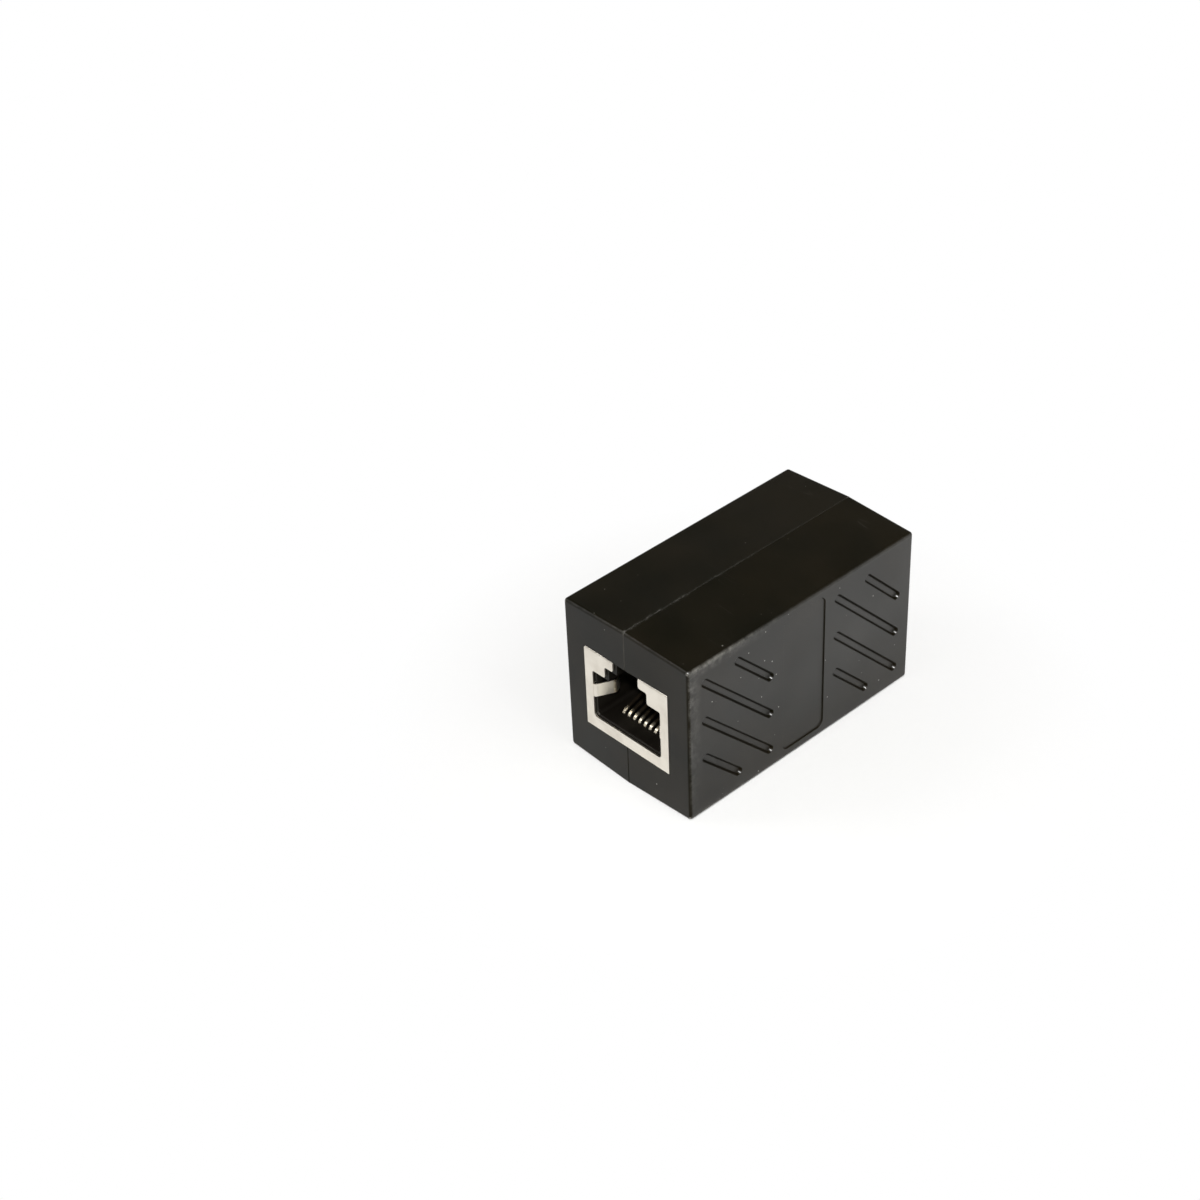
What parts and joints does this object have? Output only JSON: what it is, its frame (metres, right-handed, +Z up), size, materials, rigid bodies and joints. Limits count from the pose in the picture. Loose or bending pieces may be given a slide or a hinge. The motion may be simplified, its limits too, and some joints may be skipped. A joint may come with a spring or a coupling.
{
  "type": "rj45 inline coupler",
  "caption": "Black moulded box coupler with a shielded network socket at each end and slanted grip grooves on two sides.",
  "frame": {"origin": "middle of the underside, on the seam between the two half shells", "axes": "+Y along the plug axis from socket A to socket B, +X across to the right half shell, +Z up, with the latch notches of both sockets on top"},
  "size_m": [0.0234, 0.0438, 0.0259],
  "materials": {
    "shell_plastic": "satin",
    "insert_plastic": "matte",
    "shield_metal": "satin",
    "contact_gilt": "polished",
    "board_laminate": "satin"
  },
  "bodies": {
    "root": {"shell_left": "shell_plastic", "shell_right": "shell_plastic", "circuit_board": "board_laminate", "shield_a": "shield_metal", "shield_b": "shield_metal", "insert_a": "insert_plastic", "insert_b": "insert_plastic", "carrier_a": "insert_plastic", "carrier_b": "insert_plastic", "contact_a1": "contact_gilt", "contact_a2": "contact_gilt", "contact_a3": "contact_gilt", "contact_a4": "contact_gilt", "contact_a5": "contact_gilt", "contact_a6": "contact_gilt", "contact_a7": "contact_gilt", "contact_a8": "contact_gilt", "contact_b1": "contact_gilt", "contact_b2": "contact_gilt", "contact_b3": "contact_gilt", "contact_b4": "contact_gilt", "contact_b5": "contact_gilt", "contact_b6": "contact_gilt", "contact_b7": "contact_gilt", "contact_b8": "contact_gilt"}
  },
  "joints": []
}
